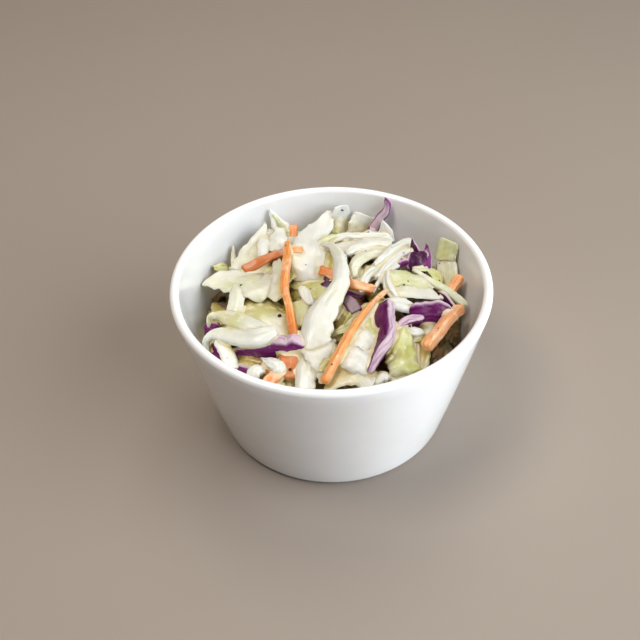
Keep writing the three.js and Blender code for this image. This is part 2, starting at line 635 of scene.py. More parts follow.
def cell_of(x, y):
    """The row and column of the cell that a point lies over."""
    ix = np.clip((x / TOP_STEP + TOP_CELLS / 2).astype(int), 0, TOP_CELLS - 1)
    iy = np.clip((y / TOP_STEP + TOP_CELLS / 2).astype(int), 0, TOP_CELLS - 1)
    return iy, ix


FACE_DOTS = (0.1, 0.37, 0.63, 0.9)  # shares of a face's sides at which its height is read


def raise_top(places, faces):
    """Lifts the heap's top where a shred now covers it."""
    corners = np.array([f[:4] if len(f) >= 4 else (*f, f[-1]) for f in faces])
    quads = places[corners]
    for a in FACE_DOTS:
        for b in FACE_DOTS:
            weights = ((1 - a) * (1 - b), a * (1 - b), a * b, (1 - a) * b)
            dots = sum(w * quads[:, k] for k, w in enumerate(weights))
            np.maximum.at(heap_top, cell_of(dots[:, 0], dots[:, 1]), dots[:, 2])


# Loose shreds are laid until they reach the target, which sinks along the wall and in a few
# gaps. The shade level is the height below which a hollow gets painted shade, wherever the
# shreds are too few to darken it: it follows the target, but sinks less in the gaps.
GAPS = [
    # x, y, radius, depth, in millimetres
    (-40, 0, 9, 5),
    (39, -12, 9, 8),
    (34, -20, 5, 4),
    (-30, -26, 4, 3),
    (0, -37, 4, 3),
]
LOOSE_DROP = 1.3 * MM
EDGE_DROP = 2.0 * MM
EDGE_START = 37  # millimetres from the middle
EDGE_RUN = 6
SHADE_LEVEL_DROP = 1.0 * MM
GAP_SHADE = 0.5

target = mound(cell_r) - LOOSE_DROP
target -= EDGE_DROP * np.clip((cell_r / MM - EDGE_START) / EDGE_RUN, 0, 1)
shade_level = target - SHADE_LEVEL_DROP
for x, y, radius, depth in GAPS:
    away = np.hypot(cell_x / MM - x, cell_y / MM - y) / radius
    dip = depth * MM * np.exp(-(away**2))
    target -= dip
    shade_level += GAP_SHADE * dip


TRIES = 14  # places that are looked at before a loose shred is laid in the lowest
ROUTE_POINTS = 9


def loose_route(length, wide, level):
    """Where the heap is lowest: a gently curved route for a shred that is laid there.

    Level says how much it shuns high spots on its way.
    """
    best, best_need = None, -1
    for _ in range(TRIES):
        reach = (HEAP_RADIUS - wide * 0.4) * math.sqrt(random.random())
        spin, heading = random.random(2) * 2 * math.pi
        middle = np.array([math.cos(spin), math.sin(spin)]) * reach
        bend = random.normal() * 0.6
        aim = heading + bend * np.linspace(-0.5, 0.5, ROUTE_POINTS)
        line = np.stack([np.cos(aim), np.sin(aim)], 1) * length / (ROUTE_POINTS - 1)
        line = np.cumsum(line, 0)
        line = line - line.mean(0) + middle
        radius = np.hypot(line[:, 0], line[:, 1])
        limit = HEAP_RADIUS - wide * 0.35
        line *= np.minimum(1, limit / np.maximum(radius, 1e-9))[:, None]
        under = cell_of(line[:, 0], line[:, 1])
        room = target[under] - heap_top[under]
        need = room.mean() + min(0, room.min()) * level
        if need > best_need:
            best, best_need = line, need
    return best, best_need


SAG = 0.8 * MM  # how far a shred sinks into what it lies across
BED = 0.2 * MM  # how deep all of it beds in
STEEPEST = 40  # degrees that it tilts at most
SAG_ROUNDS = 5


def settled(line, wide, thick):
    """Rests a flat route on the heap: the route in space and how its ends tilt with the slope."""
    away = np.gradient(line, axis=0)
    away = np.stack([-away[:, 1], away[:, 0]], 1)
    away = unit(away) * wide / 2
    left = heap_top[cell_of(*(line + away * 0.7).T)]
    right = heap_top[cell_of(*(line - away * 0.7).T)]
    middle = heap_top[cell_of(*line.T)]
    under = np.maximum(middle, (left + right) / 2)
    height = under.copy()
    for _ in range(SAG_ROUNDS):
        smooth = height.copy()
        smooth[1:-1] = (height[:-2] + height[2:]) / 2
        height = np.maximum(under - SAG, smooth)
    tilt = np.clip(np.degrees(np.arctan2(left - right, wide * 1.4)), -STEEPEST, STEEPEST)
    return np.column_stack([line, height + thick / 2 - BED]), tilt


ribs = (blank("rib", 16, 4, 0.24), blank("fine_rib", 34, 8, 0.24, 3))
thins = (blank("leaf", 16, 7, 0.12, 1), blank("fine_leaf", 34, 14, 0.12, 1))
sticks = (blank("stick", 12, 1, 0.14), blank("fine_stick", 26, 2, 0.14, 3))

Kind = namedtuple("Kind", "share lengths widths thicks wave frill crease sharp green shapes")
KINDS = {
    # Share of the loose shreds, the ranges of their sizes, the heights of wave, frill and
    # crease, all in millimetres, how much they thin out to their edges, their greenness and how
    # much more it can be, and the blanks for a loose shred and for one on top.
    "white_rib": Kind(0.34, (14, 34), (2.4, 5.0), (1.3, 2.3), 0.2, 0.2, 0.12, 0.3, (0, 0.3), ribs),
    "white_leaf": Kind(0.36, (12, 32), (4.0, 8.5), (0.5, 0.9), 0.8, 0.7, 0.25, 0.6, (0.1, 0.4), thins),
    "green_leaf": Kind(0.16, (10, 26), (4.0, 9.0), (0.5, 0.8), 0.9, 0.8, 0.3, 0.6, (0.45, 0.5), thins),
    "red_cabbage": Kind(0.08, (12, 26), (3.0, 5.0), (1.6, 2.3), 0.3, 0.0, 0.1, 0.1, (0, 0), ribs),
    "carrot": Kind(0.06, (18, 32), (2.6, 3.2), (2.5, 3.0), 0.1, 0.0, 0, 0, (0, 0), sticks),
}
LOOSE_COUNT = 280
ENOUGH = 0.4 * MM  # a loose shred needs at least so much room below the target

laid = {kind: [] for kind in KINDS}


def lay(kind, route, wide, thick, tone=0.5, green=0, fine=True, **more):
    """Adds one shred of a kind to the heap, and lifts the heap's top under it.

    Where its middle lies seeds its unevenness, so it keeps its shape when others change.
    """
    middle = route[len(route) // 2] / MM
    seed = 3 + int(abs(middle @ (7, 13, 3)))
    shape = KINDS[kind].shapes[1 if fine else 0]
    places, faces, grain = bent(shape, route, wide, thick, seed=seed, **more)
    places = kept_in_cup(places)
    raise_top(places, faces)
    along, _, outward = shape[0].T
    # The first channel is the shred's tone: random for loose shreds, and for many laid one by one it is
    # painted shade or light, set for how they lie in the light.
    look = np.column_stack([spread(tone, along), spread(green, along), np.abs(outward)])
    laid[kind].append((places, faces, grain, look))


def lay_loose(count, size):
    """Lays up to so many loose shreds, with lengths and widths times size, where there is room."""
    names = list(KINDS)
    shares = np.array([KINDS[name].share for name in names])
    for _ in range(count):
        name = names[random.choice(len(names), p=shares / shares.sum())]
        kind = KINDS[name]
        length = random.uniform(*kind.lengths) * MM * size
        wide = random.uniform(*kind.widths) * MM * size
        thick = random.uniform(*kind.thicks) * MM * size**0.5
        line, need = loose_route(length, wide, 0 if size == 1 else 1)
        if need < ENOUGH:
            continue
        route, tilt = settled(line, wide, thick)
        ends = random.uniform(0.25, 0.9, 2)
        middle = wide * random.uniform(0.8, 1.1)
        widths_along = [wide * ends[0], wide, middle, wide, wide * ends[1]]
        straight = name == "carrot"
        lay(
            name,
            route,
            [wide] if straight else widths_along,
            [thick * 0.7, thick, thick, thick * 0.7],
            turn=tilt + random.normal() * 6,
            cup=0 if straight else random.uniform(-0.12, 0.2),
            wave=kind.wave * MM * random.uniform(0.5, 1.0) * size,
            frill=kind.frill * MM * size,
            ragged=0.05 if straight else 0.2,
            crease=kind.crease * MM * size,
            sharp=kind.sharp,
            tone=random.random(),
            green=kind.green[0] + kind.green[1] * random.random(),
            fine=False,
        )


lay_loose(LOOSE_COUNT, 1)


def by_hand(
    kind, route, wide, thick=2, wave=0.15, frill=0.15, ends=1, crease=None, torn=0.8, **more
):
    """Lays one shred where it is told to. All lengths are in millimetres."""
    if crease is None:
        crease = KINDS[kind].crease
    lay(
        kind,
        np.array(route) * MM,
        np.atleast_1d(wide) * MM,
        np.atleast_1d(thick) * MM,
        wave=wave * MM,
        frill=frill * MM,
        ends=ends * MM,
        crease=crease * MM,
        torn=torn * MM,
        sharp=KINDS[kind].sharp,
        **more,
    )


# ---- White and green cabbage ----
# Thick white ribs and thin leaf, white at the heart and green outside, cut across the head.
# These lie on top, from the lowest to the highest, each group over the one before.
# Where one of these shreds lies in shade, its tone is set to tan or darken it: painted shade.
rib = partial(by_hand, "white_rib")
thin = partial(by_hand, "white_leaf")
pale = partial(by_hand, "green_leaf")
leaf = dict(thick=0.7, wave=0.7, frill=0.8, ragged=0.2)
smooth = dict(thick=0.7, wave=0.45, frill=0.45, ragged=0.1, crease=0.08, torn=0.5, ends=0.35)
flat = dict(thick=0.55, wave=0.4, frill=0.6, ragged=0.14, crease=0.08, torn=1.1)
to_front = dict(up=(0, -1, 0.3))
to_left = dict(up=(-0.5, -0.8, 0.3))
to_right = dict(up=(0.6, -0.7, 0.4))

# Along the left wall.
thin([(-36.4, 9, 36.6), (-36, 4, 37), (-36.2, -1.5, 36.6)], 5.5, green=0.9, tone=1.0, **smooth)
pale(
    [(-21.6, 34.2, 50), (-24, 29, 46.8), (-27, 23.5, 44.6), (-29, 17.5, 43)],
    (1.2, 5, 7.8, 8.5), green=0.25, tone=0.6, **smooth, up=(0, -0.5, 1),
)
rib([(-21.8, 29.5, 46.4), (-22, 25, 47.4), (-22.3, 19, 47)], (3, 4.2, 3.6), thick=2.4, ends=2)
thin([(-32.5, 28.5, 44.5), (-32.5, 25, 42), (-31, 18, 41)], (0.8, 2.2, 4), green=0.3)
pale([(-38.3, 18.5, 43.5), (-36.5, 20, 42.6), (-34, 22, 41)], (2.6, 4, 3), green=0.95, **leaf)
thin([(-17, 31, 44), (-9, 33, 44.5), (0, 37, 42)], 7, green=0.25, **leaf)
thin([(-17, 34.5, 47.4), (-17.4, 28, 47.8), (-18.2, 22, 47.2)], (3, 6.4, 6), cup=0.06, **smooth)
thin([(-17, 26, 45.5), (-12, 30, 45.5), (-7, 36, 43)], 6, green=0.15, **leaf)
thin(
    [(-13.6, 33, 40), (-16.8, 37.2, 45), (-20.6, 40.6, 50.6)],
    (11, 7, 0.8), green=0.1, **smooth, **to_right,
)
pale(
    [(-15.4, 33, 41.6), (-16.8, 36.2, 45.6), (-19.4, 39.6, 49.6)],
    (7, 5, 0.8), green=0.55, tone=0.75, **smooth, **to_front,
)

# Towards the back wall.
thin(
    [(3.8, 38, 40.5), (3.9, 41, 45), (4, 43.2, 50.2)],
    (7.6, 8, 6), green=0.05, tone=0.6, **smooth, up=(0.6, -0.8, 0.6),
)
thin(
    [(10.4, 37.5, 40), (12, 39.5, 43), (13.4, 42, 46.4)],
    (11, 12, 11), green=0.1, tone=(0.95, 0.85, 0.4), **smooth, **to_front,
)
thin(
    [(18.6, 31.5, 43.5), (18.6, 34, 46), (17.6, 36, 48.8)],
    (7, 5, 0.8), green=0.12, **smooth, **to_front,
)
pale([(-0.4, 36.2, 44.8), (3.4, 37, 44.6)], 3, green=1.0, **smooth)
pale([(-4.8, 23.6, 49.2), (-1.5, 26, 49.3), (2.2, 28.5, 48.6)], (1.2, 2.4, 1.6), green=0.65, **smooth)
rib(
    [
        (-7.6, 9.4, 45), (-7.4, 14.6, 47.8), (-7, 21, 48.9), (-6, 27.5, 48.6), (-3, 34, 47.4),
        (-1, 39.3, 47.2), (0, 42.6, 48.3),
    ],
    (10.4, 11.2, 11.4, 10, 8, 6, 3.2), thick=(0.6, 1, 1.4, 1.4), up=(0, -0.5, 1), cup=0.04, wave=0.6,
    frill=0.6, crease=0.1, ends=3.6, torn=0.5,
)

# The middle: a fan of pale strips that falls from the right, over one another.
thin([(18.5, 15.5, 46.5), (11, 10, 46.5), (4, 14, 46)], 8, green=0.3, **leaf)
pale([(14, 7, 44), (15.5, 11.5, 43.5), (18, 5, 43.5)], 6, green=0.9, **leaf)
thin([(20, 30, 45.5), (13, 32, 45), (7, 33, 44)], 6, green=0.2, **leaf)
thin([(20, 22, 46.6), (13, 23.5, 47), (7, 24, 46.6), (0, 22.5, 46)], (9, 11, 10, 6), green=0.1, **flat)
thin(
    [(20.5, 19, 47), (14.5, 19.5, 47.8), (10, 17, 48), (7.5, 12.5, 48), (7.2, 8, 47.4)],
    (4.5, 5, 4.8, 4, 2.6), thick=1.3, green=0.18, cup=0.1,
)
rib([(20.3, 24, 48), (15, 25, 48), (9.5, 23, 48), (5, 20, 47.5)], (5, 4.5, 4, 3), thick=1.8, green=0.08)
rib(
    [
        (20.3, 28.5, 47), (15, 29.5, 47), (10.5, 29.5, 47), (5.5, 30.5, 46.5), (1, 29, 46.5),
        (-3.5, 24, 47),
    ],
    (3.5, 3.2, 2.8, 3.5, 2.5), thick=2.2,
)
rib([(19, 15.5, 47.8), (14.5, 11, 48.4), (11, 6.5, 48.2), (9.5, 1, 47)], (3.5, 3.2, 2.6), thick=1.4)
rib(
    [(27.2, 28.2, 46), (22, 22.5, 48), (18, 17, 49), (14, 12, 49)],
    (3.6, 3.4, 3, 1.6), thick=2.2, cup=0.05,
)
rib(
    [(27.5, 24, 46.5), (23, 18.5, 48), (18.5, 12.5, 48.8), (14.5, 5.5, 49)],
    (3.2, 2.8, 2.4, 1.2), thick=1.8,
)
rib([(26.5, 20.5, 46), (22, 14.5, 47.6), (17, 8, 48.2), (13.5, 1.5, 47.5)], (2.8, 2.4, 1.2), thick=1.6)

# Between the upright stick and the big rib: a smooth leaf over green ones.
pale([(-12, 12, 43.5), (-5, 7, 45), (0, 1, 44.5)], 10, green=0.8, **leaf)
pale([(-12, 6, 43.5), (-8, 2, 44), (-5, -5, 44.5)], 6, green=0.95, **leaf)
thin(
    [(-14, 30, 44), (-12, 24, 46.8), (-9.8, 18, 47.6), (-8.4, 12.6, 46.6)],
    (5, 7, 7, 5), thick=0.7, green=0.2, cup=0.03, wave=0.3, frill=0.4, crease=0.06, ragged=0.12,
    ends=0.4,
)
thin([(-2.2, 24, 46.5), (-1.6, 17, 47.2), (-1, 11, 45.5)], (5, 6, 5), green=0.45, turn=20, **leaf)
rib(
    [(-9.8, 4.8, 46.4), (-8.2, 1, 46.8), (-6.4, -3.5, 46)],
    (2.6, 3.8, 3.2), thick=1.8, ends=1.6, cup=0.1,
)
rib([(-10.2, -1, 45.4), (-9.6, -6.5, 45.6), (-9, -13, 45.2)], 5.6, green=0.45, thick=1.6)

# The left side: a broad leaf over the wall, white strips across it and a thick rib in front.
pale([(-27, 0, 43.5), (-20.5, -5.5, 44), (-12.5, -8.5, 45)], 12, green=0.9, **leaf)
pale(
    [(-26, 1, 44), (-22, -6.5, 45), (-17.6, -12.5, 45.3), (-13.8, -17.5, 44.4)],
    (8, 12.5, 13, 9), green=(0.95, 0.8, 0.3, 0.12), tone=(1.0, 0.9, 0.6, 0.7), cup=0.06, **smooth,
)
pale([(-32, 17.5, 42.5), (-26, 12, 45.5), (-18.5, 6, 46.5)], (5, 9, 10), green=0.35, **leaf)
pale([(-28, 15, 44.5), (-20, 12.5, 46), (-12, 10, 46.5)], 8, green=0.55, **leaf)
pale(
    [
        (-42, 12.3, 42), (-39, 12.3, 43.2), (-35, 11.5, 44.2), (-30, 9.5, 45.4), (-24.5, 6, 46.6),
        (-18.5, 3.5, 47),
    ],
    (2, 9, 11.5, 13.5, 14.5, 11), thick=0.8, green=0.32, cup=0.05, wave=0.5, frill=0.45, crease=0.08,
    ragged=0.07, torn=0.3,
)
thin(
    [(-17.6, 16, 48), (-16.2, 8, 48.6), (-16.4, 2, 48.2), (-18.6, -1.6, 47)],
    (3, 4.6, 5.6, 4), green=0.28, turn=(15, 5, 0, 0), **smooth,
)
rib(
    [(-29.5, 7.5, 45.8), (-29.5, 1, 46.6), (-30.5, -6, 44.5)],
    (4, 5.4, 5), thick=1.2, green=0.25, cup=0.1, frill=0.4,
)
thin(
    [
        (-38.8, -5.5, 39.5), (-38, -3.8, 42), (-34, -5.5, 44), (-29.5, -9.5, 46), (-25.5, -13.2, 47),
        (-19.5, -16.8, 47.5),
    ],
    (1.6, 3, 6.2, 7.6, 6.4, 4.5), thick=1.6, green=0.33, tone=(0.95, 0.85, 0.5), cup=0.1, frill=0.3,
)
rib(
    [
        (-38.5, -15.5, 38.5), (-38.8, -13.2, 41), (-35.5, -13, 43.5), (-30.5, -16.6, 45.5),
        (-24.5, -19, 46.7), (-20.5, -18.9, 47.7), (-16.8, -17.4, 48.6),
    ],
    (1.6, 3.2, 5.6, 6, 6.2, 7, 5.4), thick=(1.4, 2, 2.8, 3, 3.6, 3), green=0.12, ends=2.8, torn=0.1,
    wave=0.2,
)
thin(
    [(-34.6, -16.6, 43.6), (-32.2, -20.5, 43.2), (-29.8, -26.2, 40.4)],
    (3.4, 4.6, 5.2), thick=1.1, green=0.1, cup=0.08, crease=0.08, ends=0.4,
)

# The front left, below the rib.
pale([(-29, -20, 38.5), (-25, -22, 39)], 6, green=1.0, **leaf)
thin([(-28, -21.5, 39.6), (-24.8, -23, 40.4), (-22, -25.5, 40.4)], 6, green=0.85, tone=1.0, **smooth)
thin(
    [(-21, -24.6, 43.2), (-18.3, -26.6, 44.2), (-16, -28.4, 44), (-15.2, -30.6, 42.8)],
    (0.8, 3.2, 5, 3.6), thick=1, cup=0.15, frill=0.5, ragged=0.2,
)
rib([(-24, -31, 39.5), (-23, -29, 42.3), (-20.5, -27.5, 42.3)], (3, 4, 3), thick=2.6, ends=2)
pale([(-18.5, -31.5, 41), (-15, -34, 41)], 4, green=0.8, **leaf)

# The front middle: broad soft leaves that lie on one another.
thin(
    [(-2.5, -33.5, 42), (3, -32.6, 44.2), (8, -32.4, 44.4), (12, -34.4, 42.2)],
    (7, 8, 8), turn=12, tone=(1.0, 1.0, 1.0, 0.5), **smooth,
)
pale([(0.4, -22.5, 46.8), (-1.8, -27.5, 46), (-3.8, -31.5, 44)], 3, green=0.9, tone=1.0, **smooth)
rib([(12, -34, 41), (14.5, -31.5, 42.3), (17, -32, 41.5)], (3, 3.6, 3), thick=2.2, ends=2)
rib([(17.5, -32.5, 40.8), (21, -30.5, 40.8), (24, -28, 40)], (3, 4, 3))
thin([(-5.5, -20, 46.4), (-3.5, -24.5, 46.6), (-1.5, -29, 45), (0, -34, 42)], (10, 11, 9, 8), **flat)
thin([(13, -15, 46.2), (10, -20, 47.2), (7.5, -25, 46.8), (5, -30, 45)], 9.5, green=0.1, **flat)
thin(
    [(4.5, -20.6, 46.6), (9, -22.8, 47.7), (13.6, -24.2, 46)],
    (9, 10.6, 9.6), cup=0.05, turn=14, **smooth,
)
thin([(1.4, -25.6, 45.4), (6, -28.4, 47), (11.4, -30, 44.4)], (6.6, 9, 8), cup=0.1, turn=16, **smooth)
pale([(11.2, -9.5, 48), (11.6, -15.5, 48.6), (12.6, -23.4, 47.6)], (4.4, 6.4, 4.4), green=0.7, **smooth)
pale([(0.5, -18, 44.5), (4, -11.5, 45), (8, -4, 45)], 8, green=0.95, **leaf)
pale([(-0.5, -17, 45.8), (3.5, -16, 46.8), (8, -13, 46.8)], (2.5, 3.4, 2.6), green=0.5, **leaf)
pale([(3.5, -14, 45.8), (7, -10, 46.6), (12.5, -4.5, 46.8)], (3, 5, 4), green=0.85, **leaf)
thin([(1, -11, 47), (2.5, -7, 47.6), (4.2, -3, 46.8)], (2.4, 3.4, 2.4), thick=1.4)
rib(
    [(-5, -22.5, 45.2), (-7.3, -29, 43.8), (-8.5, -36, 41)],
    (6, 6.5, 6), thick=1.6, cup=0.12, frill=0.3,
)
rib([(-0.5, -19, 46), (-2.5, -25, 45), (-4, -31, 43)], (4, 5, 3), thick=1.6, green=0.25)

# The right side: leaves that lean on the wall, and folded leaves in front of them.
pale(
    [(39.2, 22.2, 50.6), (38.2, 20.4, 48.3), (37.4, 18, 45.6)],
    (7.2, 7.8, 7.4), green=0.56, tone=0.3, thick=0.7, crease=0.06, torn=0.15, ragged=0.05, ends=0.3,
    up=(-0.6, -0.8, 1.1),
)
pale(
    [(37.6, 18.6, 45.6), (37.8, 14.4, 43.8), (38.2, 9, 42)],
    (6.8, 7.6, 6.8), green=0.2, thick=0.8, ragged=0.06, crease=0.05, torn=0.3, up=(-0.5, -1, 0.8),
)
pale([(32, 19, 42), (33, 11, 43)], 6, green=1.0, **leaf)
thin(
    [(26.5, 12, 46.6), (30.6, 13.4, 46.2), (33.4, 12, 45.6), (35, 8, 44)],
    (4, 5, 4.6, 3), green=0.62, turn=-20, **smooth,
)
pale(
    [(16.5, 4, 48), (21.5, 6, 48.8), (26, 4.6, 48.2), (29, 3.2, 47.4), (32, 2.2, 46)],
    (7, 8.5, 8, 6.4, 3), green=0.55, cup=0.08, **smooth,
)
thin(
    [(18.5, 0.5, 48), (23, -0.3, 48.4), (28.5, 0.6, 47.6), (34.4, -0.6, 45.2)],
    (4.5, 6.4, 7.4, 0.8), green=0.22, **smooth,
)
thin(
    [(18, 9, 49), (17.4, 3, 49.8), (18.4, -1.5, 49.6), (20.5, -4.5, 48.5)],
    (2.2, 2.8, 3.2, 2.6), thick=1.2, turn=40, frill=0.5,
)
rib(
    [(26.5, 11.2, 47.4), (31.8, 5.6, 47.2), (37, 2.6, 45.4), (42.6, -1.2, 42.5)],
    (1.4, 2.8, 3.2), green=0.45, ragged=0.05, wave=0.1,
)
thin(
    [(16.5, -7, 49), (20, -6.3, 48.6), (23, -6.3, 47.8), (26.5, -7, 46)],
    (5, 6.8, 6, 2.5), thick=1.3, cup=0.1, frill=0.6,
)
rib([(30, -9, 43), (29, -16, 43)], 4, green=0.3)
pale([(31.4, -18.6, 37), (33.6, -14.6, 37)], 4, green=0.4, tone=1.0, **leaf)
pale([(36.6, -8.5, 35), (39.5, -3.5, 34.6)], 3.6, green=0.35, tone=1.0, **leaf)
pale([(17, -22, 45), (18.5, -25.5, 44.5), (20.5, -29.5, 42.5)], (3, 6, 5), green=0.62, cup=0.15, **leaf)
pale(
    [(22, -15.5, 46.6), (21, -20, 46.8), (20.8, -24.5, 45), (21.5, -31, 41.8)],
    (4, 7, 9, 10), thick=0.9, green=0.62, cup=0.2, wave=0.8, frill=0.8,
)
thin([(22.5, -17, 46.8), (25, -17.6, 47), (27.3, -16, 45.5)], (2.6, 3.8, 3), thick=2.2, ends=2)
thin([(25, -19, 45.5), (25.2, -23, 44.2), (24.3, -29, 41.5)], (2.4, 3.2, 3), thick=1.2, turn=-20)
thin([(27.5, -19, 44), (27.5, -24, 42.5), (26.5, -28, 40.5)], (3, 4, 3), green=0.4, **leaf)

# Last the big rib that arches over the middle and widens to a leaf.
rib(
    [
        (-4, 23.5, 48.3), (0.6, 20, 50.5), (2.9, 12, 52), (3.3, 4, 52.3), (2.2, -2.6, 51.8),
        (-1.4, -9, 51), (-4, -15, 49.6), (-4.9, -20, 47.8), (-5, -24, 46),
    ],
    (1.6, 2.8, 4.2, 5, 5.6, 7, 9.4, 10, 8.6), thick=(1.2, 2, 2.6, 2.6, 2.2, 1.8, 1.4, 1), green=0.06,
    tone=0.62, cup=0.1, turn=(30, 20, 5, 0, 0), wave=0.3, frill=0.5, crease=0.12, ragged=0.14,
)


def shred_wires(shader):
    """Wires for a shred: place, grain, tone with painted shade, greenness, skin and depth between the
    others.

    Tone, which also carries painted shade, and greenness are given with a shred's route. Skin is 1
    on its two faces and falls to 0 in the middle of its cut edges.
    """
    start = Wire(shader.outputs[0])
    place = place_of(shader)
    grain = start.node("ShaderNodeUVMap", {"uv_map": "grain"})
    look = start.node("ShaderNodeAttribute", {"attribute_name": "look"})
    parts = look.node("ShaderNodeSeparateColor", {}, {0: look}).socket.node.outputs
    depth = look.socket.node.outputs["Alpha"]
    return place, grain, *(Wire(socket) for socket in (*parts, depth))


def streaks(grain, along, across, detail=3.0):
    """Noise drawn out along the grain, at so many blotches a millimetre each way."""
    sockets = {"Vector": grain, "Scale": (along, across, 1.0)}
    stretched = grain.node("ShaderNodeMapping", {}, sockets)
    return noise(stretched, 1.0, detail)


LEAF_STOPS = {
    # greenness: colour, from the white of a rib to the outer leaf
    0.0: "DEDFD8",
    0.25: "DBDCC9",
    0.55: "CFD29C",
    0.8: "BFBF74",
    1.0: "A9A554",
}
PAINTED_SHADE_STOPS = {
    # painted shade by depth between the shreds, warmer and darker deeper: what is left of the colour
    # there
    0.0: "FFFFFF",
    0.25: "FAEECA",
    0.7: "E2CD8E",
    1.0: "8A6C3C",
}
LEAF_TAN_AND_SHADE = "CFC48C"
LEAF_DRESSED = "ECEDE6"


def cabbage_finish():
    """Wet cabbage: white to green, with veins along it, under thin dressing; painted shade tans and
    darkens it.
    """
    material, shader = finish_of(
        "cabbage",
        Subsurface_Weight=0.7,
        Subsurface_Scale=0.002,
        Subsurface_Radius=(0.75, 0.85, 1.0),
        Coat_Weight=0.45,
        Coat_Roughness=0.12,
        Specular_IOR_Level=0.45,
    )
    place, grain, tone, green, _, depth = shred_wires(shader)
    veins = streaks(grain, 0.1, 0.8)
    fine_veins = streaks(grain, 0.2, 2.6)
    patch = noise(place, 95.0, 2.0)
    clots = noise(place, 330.0, 3.0, 0.6)
    greenness = green + (patch - 0.5) * 0.8 + (veins - 0.5) * 0.3
    greenness = greenness.node("ShaderNodeMath", {"operation": "MAXIMUM"}, {0: greenness, 1: 0.0})
    body = greenness.ramp(LEAF_STOPS)
    # A high tone turns a piece tan: a real tan for some, painted shade for pieces that lie in shade.
    body = body.mixed(LEAF_TAN_AND_SHADE, (tone - 0.62).band(0.0, 0.3) * 0.6)
    body = body.mixed(LEAF_DRESSED, clots.band(0.48, 0.66) * (tone * 0.4 + 0.15))
    connect(
        shader,
        # Painted shade: darker and browner the deeper a point lies between the shreds.
        Base_Color=body.mixed(depth.ramp(PAINTED_SHADE_STOPS), 1.0, "MULTIPLY"),
        Roughness=clots * 0.35 + 0.2,
        Normal=bump(veins * 0.6 + fine_veins * 0.3 + clots * 0.3, 0.5 * MM, 0.8),
    )
    return material


cabbage = cabbage_finish()

# ---- Red cabbage ----
# Strips of red cabbage, 3 to 9 mm wide: dark skin on both faces, and pale flesh where it is
# cut. Most are turned on edge, so that the cut shows.
RED_SKIN = "641459"
RED_VEINS = "8C3A84"
RED_DARK_SKIN_AND_SHADE = "36042C"
RED_FLESH = "CDB7C3"
FLESH_VEINS = "A583A0"
FLESH_DULL_AND_SHADE = "8E7880"
RED_DRESSED = "E9E0E6"

red_strip = partial(by_hand, "red_cabbage")
# A strip's tone darkens its skin or dulls its flesh where it lies in shade: painted shade.
red_strip(
    [
        (12, 31, 44), (14.5, 37, 44), (17, 38.8, 47.5), (19, 39.5, 50), (19.6, 40.3, 52.2),
        (18.7, 41, 54.1),
    ],
    (3, 3, 2.4, 1.2), thick=(3.6, 3.6, 3.4, 2.8, 1.2), turn=68, up=(0, -1, 0.2),
)
red_strip(
    [(28, 17, 44.4), (27.9, 19.8, 47), (27.2, 23.4, 50)],
    (5, 4.6, 0.8), thick=1.4, tone=0.9, **to_left,
)
red_strip(
    [(28.2, 12.6, 45.4), (28.4, 15, 47.8), (28.7, 17.9, 49.5)],
    (7, 7.8, 6.2), thick=1.2, tone=0.95, **to_front,
)
red_strip([(31, 12.8, 45.6), (31.2, 16, 48), (31.5, 21.2, 49.7)], (3, 3.4, 0.9), thick=1.2, **to_front)
red_strip([(21.4, 14, 47.4), (23.4, 14.8, 48), (25.2, 15.4, 47.6)], 2.2, thick=2.8, turn=80)
red_strip([(-2.6, 7.9, 46), (0.3, 7.3, 46.5), (3.6, 5.6, 46)], 4.8, thick=1.6, turn=20, tone=1.0)
red_strip([(4, 3.4, 45), (7, 2.8, 45.4), (10, 2, 44.6)], 2.4, thick=1.6, turn=25, tone=0.0)
red_strip(
    [(4.6, -2, 46.8), (6.2, -5.6, 47.2), (8, -8.8, 46.2)],
    3.6, thick=(3.6, 4.8, 4), turn=104, tone=0.05,
)
red_strip(
    [
        (16.6, -7.6, 48.6), (16, -13.5, 49.3), (16.4, -19, 48.9), (15.2, -23.5, 47.8),
        (13, -27.5, 46.4), (10.8, -31.8, 44.4),
    ],
    (6.2, 6, 6.4, 5.6, 4.6, 3), thick=(4.4, 4.4, 4, 3.8, 3.2, 2.4), turn=(42, 42, 46, 58, 62), wave=0.3,
    tone=0.74,
)
red_strip(
    [(18.3, -17, 46.5), (20.5, -15.2, 47.6), (23.5, -13.5, 48), (27.5, -11.8, 47)],
    3, thick=(2, 2.8, 2.8, 2.2), turn=118,
)
red_strip(
    [(33.8, 3, 44), (35.8, -0.6, 44.8), (38.4, -4, 43.4)],
    (2.8, 3.6, 3), thick=1.4, turn=72, tone=0.9,
)
red_strip(
    [(23.8, -9, 45.4), (28, -9, 45.8), (32.5, -8.4, 45.6), (36.6, -8.4, 44)],
    (8.5, 9, 9, 7), thick=1.9, turn=(64, 62, 60, 55), wave=0.4, tone=0.66,
)
red_strip(
    [
        (-34, -17.5, 40), (-29, -19.2, 41.2), (-24, -20.5, 42.4), (-19.5, -20.8, 43.2),
        (-15, -21.2, 44), (-11, -21.6, 44.6), (-6.2, -22.2, 45.2),
    ],
    (2.6, 3.4, 5, 8, 9.5, 9.5, 5), thick=(1, 1.2, 2.2, 4.2, 5, 5, 4), turn=(90, 90, 90, 88, 88),
    wave=0.3,
)
red_strip([(-40, -5, 38), (-35.5, -7.5, 39.5)], 5, turn=50)
red_strip([(-38, -13, 37), (-34, -18.5, 37.5)], 5, turn=40)
red_strip([(-30, -24.5, 39), (-23.5, -27.5, 40)], 4, turn=60)


